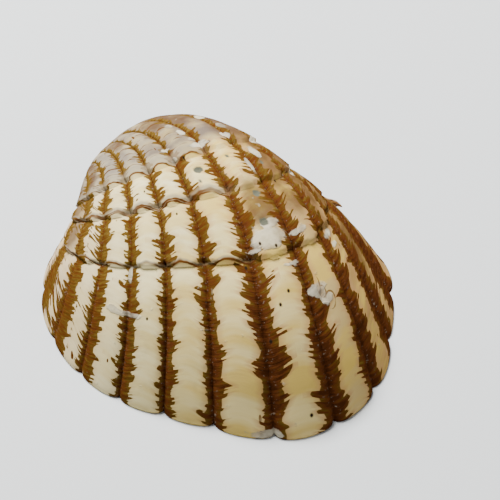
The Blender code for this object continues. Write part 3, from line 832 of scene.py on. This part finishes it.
def ligament_chart(sizes):
    """The chart of the ligament: a closed blade along the outside behind the beak."""
    steps = np.linspace(0.0, 1.0, sizes.stations)
    angle = np.radians(LIGAMENT_ANGLES[0] + (LIGAMENT_ANGLES[1] - LIGAMENT_ANGLES[0]) * steps)
    middle = LIGAMENT_STAGES[0] + (LIGAMENT_STAGES[1] - LIGAMENT_STAGES[0]) * steps
    turns = np.arange(sizes.sides) * 2.0 * math.pi / sizes.sides
    taper = 0.2 + 0.8 * (1.0 - (2.0 * steps - 1.0) ** 2) ** 0.25
    ragged = 0.10 * np.sin(steps * 37.0) + 0.07 * np.sin(steps * 83.0 + 1.0)
    width = sizes.width / MM * (taper + ragged * smooth(0.0, 0.3, steps))
    fray = 1.0 + 0.12 * np.sin(turns[None, :] * 5.0 + steps[:, None] * 9.0)
    across = np.cos(turns)[None, :] * width[:, None] / 2.0
    height = np.sin(turns)[None, :] * sizes.thickness / MM / 2.0 * taper[:, None] * fray
    lift = sizes.gap / MM + sizes.thickness / MM / 2.0 + sizes.curl / MM * smooth(0.7, 1.0, steps)
    angles = np.broadcast_to(angle[:, None], across.shape)
    stage = middle[:, None] - across / (LENGTH_PER_STAGE * 0.55)
    lifted = lift[:, None] + height
    facts = {
        "angle": angles, "stage": stage, "outline": rim_radius(angles) * MM,
        "outline_ahead": rim_radius(angles + ANGLE_STEP) * MM, "hinge": hinge_share(angles),
        "hinge_ahead": hinge_share(angles + ANGLE_STEP), "inset": np.zeros_like(stage), "lift": lifted * MM,
    }
    poles = {name: (values[0].mean(), values[-1].mean()) for name, values in facts.items()}
    return closed_chart("ligament_chart", facts, poles, turns / (2.0 * math.pi))


def ligament_tree(sizes, material):
    """The tree that lays the ligament along the grown outside of the shell."""
    tree, add, start, finish = new_tree("Ligament growth", sizes)
    here, outward = growth(add, {name: start.outputs[name] for name in sizes})
    lift = add(NAMED, {"Name": "lift"}).outputs["Attribute"]
    moved = add(SCALE, {0: outward, "Scale": lift})
    place = add(VECTOR_ADD, (here, moved))
    grown = add("GeometryNodeSetPosition", {"Geometry": start, "Position": place})
    real = add("GeometryNodeRealizeInstances", {"Geometry": grown})
    dressed = add("GeometryNodeSetMaterial", {"Geometry": real, "Material": material})
    tree.links.new(dressed.outputs[0], finish.inputs[0])
    return tree


def length(name, description, default):
    """A size in metres."""
    return bpy.props.FloatProperty(name=name, description=description, default=default, min=0.0,
                                   precision=5, subtype="DISTANCE", unit="LENGTH")


def power(name, description, default):
    """The power of a light, in watts."""
    return bpy.props.FloatProperty(name=name, description=description, default=default, subtype="POWER",
                                   unit="POWER")


def turning(name, description, degrees):
    """An angle."""
    return bpy.props.FloatProperty(name=name, description=description, default=math.radians(degrees),
                                   subtype="ANGLE", unit="ROTATION")


def share_of(name, description, default):
    """A plain number."""
    return bpy.props.FloatProperty(name=name, description=description, default=default, precision=4)


def tint(name, description, code):
    """A colour, with its default as an sRGB hex value."""
    return bpy.props.FloatVectorProperty(name=name, description=description, default=colour(code), size=4,
                                         min=0.0, max=1.0, subtype="COLOR")


class ShellGrowth(bpy.types.PropertyGroup):
    """Sizes of the growth rule and of the relief of the outside."""
    growth_turn: turning("Growth turn", "How far the rim turns from the beak to the present", 135.0)
    growth_power: share_of("Growth power", "How evenly the turn is spread over the growth", 1.09)
    growth_ease: turning("Growth ease", "Slower turning in the middle of the growth", -34.5)
    hinge_tilt: turning("Hinge tilt", "Tilt of the axis that the shell winds about", -10.8)
    beak_twist: turning("Beak twist", "Turn of the beak towards the front", 28.6)
    twist_ease: turning("Twist ease", "Slower twisting in the middle of the growth", -23.1)
    hinge_lift: length("Hinge lift", "Fullness of the shell behind the beak", 7.5 * MM)
    groove_depth: length("Groove depth", "Depth of the grooves at the rim", 0.95 * MM)
    groove_width: share_of("Groove width", "Width of a groove's round floor, as a share of a rib", 0.28)
    groove_slit: length("Groove slit", "Depth of the narrow slit along each groove", 0.22 * MM)
    ledge_step: length("Ledge step", "Step down where growth stopped", 0.38 * MM)
    ledge_run: share_of("Ledge run", "Share of the growth over which the shell swells out again", 0.07)
    line_sag: share_of("Line sag", "How far the growth lines bend back over the ribs", -0.010)
    growth_lines: length("Growth lines", "Height of the growth lines", 0.13 * MM)
    crust_height: length("Crust height", "How far the lime crust stands proud", 0.06 * MM)
    edge_round: length("Edge round", "Rounding of the outer edge of the rim", 0.22 * MM)


class ShellFinish(bpy.types.PropertyGroup):
    """Colours of the shell and its ligament."""
    rib_pink: tint("Front ribs", "Cream with a little pink", "#C6AF90")
    rib_white: tint("Middle ribs", "Warm white", "#EADCA8")
    rib_cream: tint("Cream", "Cream of the middle ribs near the rim", "#E3D092")
    rib_yellow: tint("Rear ribs", "Yellow cream", "#E1CB8B")
    rib_tan: tint("Rear slope", "Tan of the last ribs", "#A6834F")
    rib_band: tint("Bands", "Orange-yellow bands over the rear ribs", "#CFAF55")
    # Peach brown that is also painted shade of the ribs' sides beside the grooves.
    rib_edge: tint("Rib edges", "Peach brown beside the stain", "#B5875C")
    beak_grey: tint("Front of the beak", "Pinkish grey of the oldest ribs", "#8D8272")
    beak_mauve: tint("Beak", "Greyish mauve of the worn beak", "#75685B")
    worn_brown: tint("Worn ribs", "Brownish mauve where the outer layer is worn", "#553A22")
    stain_fringe: tint("Stain fringe", "Thin edge of the stain", "#6F5624")
    stain_gold: tint("Golden stain", "Stain of the front grooves", "#5B4318")
    stain_brown: tint("Brown stain", "Stain of the middle grooves", "#583414")
    stain_dark: tint("Dark stain", "Stain of the rear grooves", "#542D15")
    stain_black: tint("Darkest stain", "Middle of the darkest grooves", "#43230F")
    crust_white: tint("Lime crust", "Chalky white", "#D8D0B6")
    crust_grey: tint("Grey crust", "Grey of old crust and worn lips", "#8B8271")
    pit_grey: tint("Pits", "Greenish grey of the pits", "#5E5F50")
    speck_black: tint("Specks", "Small black specks", "#2B2018")
    inside_white: tint("Inside", "Porcelain white", "#F2EFE6")
    inside_cream: tint("Inside cream", "Warmer deep inside and at the rim", "#E6DCC6")
    inside_scar: tint("Muscle scars", "Duller cream of the scars inside", "#D9CDB4")
    ligament_gold: tint("Ligament, thin", "Golden brown", "#B88A46")
    ligament_brown: tint("Ligament", "Dried brown", "#8A6130")
    ligament_dark: tint("Ligament, thick", "Dark brown", "#2E1A0E")


class LigamentSize(bpy.types.PropertyGroup):
    """Sizes of the dried ligament."""
    width: length("Width", "Width of the blade", 1.5 * MM)
    thickness: length("Thickness", "Thickness of the blade", 0.55 * MM)
    gap: length("Gap", "Space between the blade and the shell", 0.4 * MM)
    curl: length("Curl", "How far the rear end curls up", 0.8 * MM)
    stations: bpy.props.IntProperty(name="Stations", description="Steps along the blade", default=90, min=8)
    sides: bpy.props.IntProperty(name="Sides", description="Steps round the blade", default=32, min=6)


class ShellStage(bpy.types.PropertyGroup):
    """The table top, the light and the camera."""
    floor: tint("Table top", "Plain pale floor", "#D6D9D9")
    key_power: power("Key light", "Power of the large soft light", 6.0)
    fill_power: power("Fill light", "Power of the side light", 0.6)
    sky: share_of("Sky", "Strength of the even light from all round", 0.11)


GROWTH_INPUTS = ("growth_turn", "growth_power", "growth_ease", "hinge_tilt", "beak_twist", "twist_ease",
                 "hinge_lift")
RELIEF_INPUTS = ("groove_depth", "groove_width", "groove_slit", "ledge_step", "ledge_run", "line_sag",
                 "growth_lines", "crust_height", "edge_round")


def inputs_of(settings, names):
    """The named inputs of a tree, from the settings of the same names."""
    return {name.replace("_", " ").capitalize(): getattr(settings, name) for name in names}


class CARDITA_OT_valve(bpy.types.Operator):
    """Grow the valve from its chart and dress it"""
    bl_idname = "cardita.valve"
    bl_label = "Valve"

    def execute(self, context):
        settings = context.scene.cardita_growth
        finish = context.scene.cardita_finish
        sizes = inputs_of(settings, GROWTH_INPUTS + RELIEF_INPUTS)
        tree = valve_tree(sizes, outside_material(finish), inside_material(finish))
        valve = made_plain(valve_chart(), tree, sizes, "shell_valve", VALVE_MARKS)
        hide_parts("valve")
        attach(valve, "root")
        return {"FINISHED"}


class CARDITA_OT_ligament(bpy.types.Operator):
    """Lay the dried ligament along the shell behind the beak"""
    bl_idname = "cardita.ligament"
    bl_label = "Ligament"

    def execute(self, context):
        sizes = inputs_of(context.scene.cardita_growth, GROWTH_INPUTS)
        tree = ligament_tree(sizes, ligament_material(context.scene.cardita_finish))
        chart = ligament_chart(context.scene.cardita_ligament)
        ligament = made_plain(chart, tree, sizes, "ligament_flake", ())
        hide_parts("ligament")
        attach(ligament, "root")
        return {"FINISHED"}


class CARDITA_OT_stage(bpy.types.Operator):
    """Set the table top, the soft light and the camera"""
    bl_idname = "cardita.stage"
    bl_label = "Stage"

    def execute(self, context):
        settings = context.scene.cardita_stage
        set_floor(settings)
        set_lights(settings)
        set_camera()
        return {"FINISHED"}


class CARDITA_PT_panel(bpy.types.Panel):
    """Lists the pieces and their sizes"""
    bl_idname = "CARDITA_PT_panel"
    bl_label = "Cardita shell"
    bl_space_type = "VIEW_3D"
    bl_region_type = "UI"
    bl_category = "Shell"

    def draw(self, context):
        for operator, settings in ((CARDITA_OT_valve, "cardita_growth"),
                                   (CARDITA_OT_ligament, "cardita_ligament"),
                                   (CARDITA_OT_stage, "cardita_stage")):
            box = self.layout.box()
            box.operator(operator.bl_idname)
            group = getattr(context.scene, settings)
            for name in group.__annotations__:
                box.prop(group, name)
        box = self.layout.box()
        for name in context.scene.cardita_finish.__annotations__:
            box.prop(context.scene.cardita_finish, name)


def set_floor(settings):
    """A wide matt table top under the shell."""
    mesh = bpy.data.meshes.new("table_top")
    half = 1.5
    mesh.from_pydata([(-half, -half, 0.0), (half, -half, 0.0), (half, half, 0.0), (-half, half, 0.0)], [],
                     [(0, 1, 2, 3)])
    floor = bpy.data.objects.new("table_top", mesh)
    bpy.context.scene.collection.objects.link(floor)
    # Matt painted board: pale and even, so that only the soft shadow shows on it.
    material, shader = new_material("Painted board, matt")[::2]
    shader.inputs["Base Color"].default_value = settings.floor
    shader.inputs["Roughness"].default_value = 0.85
    mesh.materials.append(material)


def set_lights(settings):
    """A large soft light above and behind, a weaker one in front, and an even sky."""
    for name, power, size, place in (("key_light", settings.key_power, 0.15, (-0.07, 0.23, 0.35)),
                                     ("fill_light", settings.fill_power, 0.35, (0.30, -0.30, 0.35))):
        light = bpy.data.lights.new(name, "AREA")
        light.energy = power
        light.size = size
        lamp = bpy.data.objects.new(name, light)
        lamp.matrix_world = aimed(Vector(place), Vector((0.0, 0.0, 0.005)))
        bpy.context.scene.collection.objects.link(lamp)
    world = bpy.data.worlds.new("soft_sky")
    world.use_nodes = True
    world.node_tree.nodes["Background"].inputs["Color"].default_value = (1.0, 1.0, 1.0, 1.0)
    world.node_tree.nodes["Background"].inputs["Strength"].default_value = settings.sky
    bpy.context.scene.world = world


def aimed(place, target):
    """The place and turn of a light or camera that looks at a target."""
    turn = (target - place).to_track_quat("-Z", "Y")
    return Matrix.Translation(place) @ turn.to_matrix().to_4x4()


def set_camera():
    """The camera of the photograph."""
    camera = bpy.data.cameras.new("camera")
    camera.lens = LENS
    camera.sensor_width = 36.0
    camera.clip_start = 0.01
    camera.clip_end = 10.0
    seen = bpy.data.objects.new("camera", camera)
    azimuth = math.radians(CAMERA_AZIMUTH)
    elevation = math.radians(CAMERA_ELEVATION)
    back = Vector((math.sin(azimuth) * math.cos(elevation), -math.cos(azimuth) * math.cos(elevation),
                   math.sin(elevation)))
    target = Vector(TARGET) * MM
    seen.matrix_world = aimed(target + back * CAMERA_DISTANCE * MM, target)
    bpy.context.scene.collection.objects.link(seen)
    bpy.context.scene.camera = seen


CLASSES = (ShellGrowth, ShellFinish, LigamentSize, ShellStage, CARDITA_OT_valve, CARDITA_OT_ligament,
           CARDITA_OT_stage, CARDITA_PT_panel)
GROUPS = {"cardita_growth": ShellGrowth, "cardita_finish": ShellFinish, "cardita_ligament": LigamentSize,
          "cardita_stage": ShellStage}


def register():
    for item in CLASSES:
        bpy.utils.register_class(item)
    for name, group in GROUPS.items():
        setattr(bpy.types.Scene, name, bpy.props.PointerProperty(type=group))


def unregister():
    for name in GROUPS:
        delattr(bpy.types.Scene, name)
    for item in reversed(CLASSES):
        bpy.utils.unregister_class(item)


def main():
    """Makes every piece in order."""
    register()
    bpy.ops.cardita.valve()
    bpy.ops.cardita.ligament()
    bpy.ops.cardita.stage()


if __name__ == "__main__":
    main()
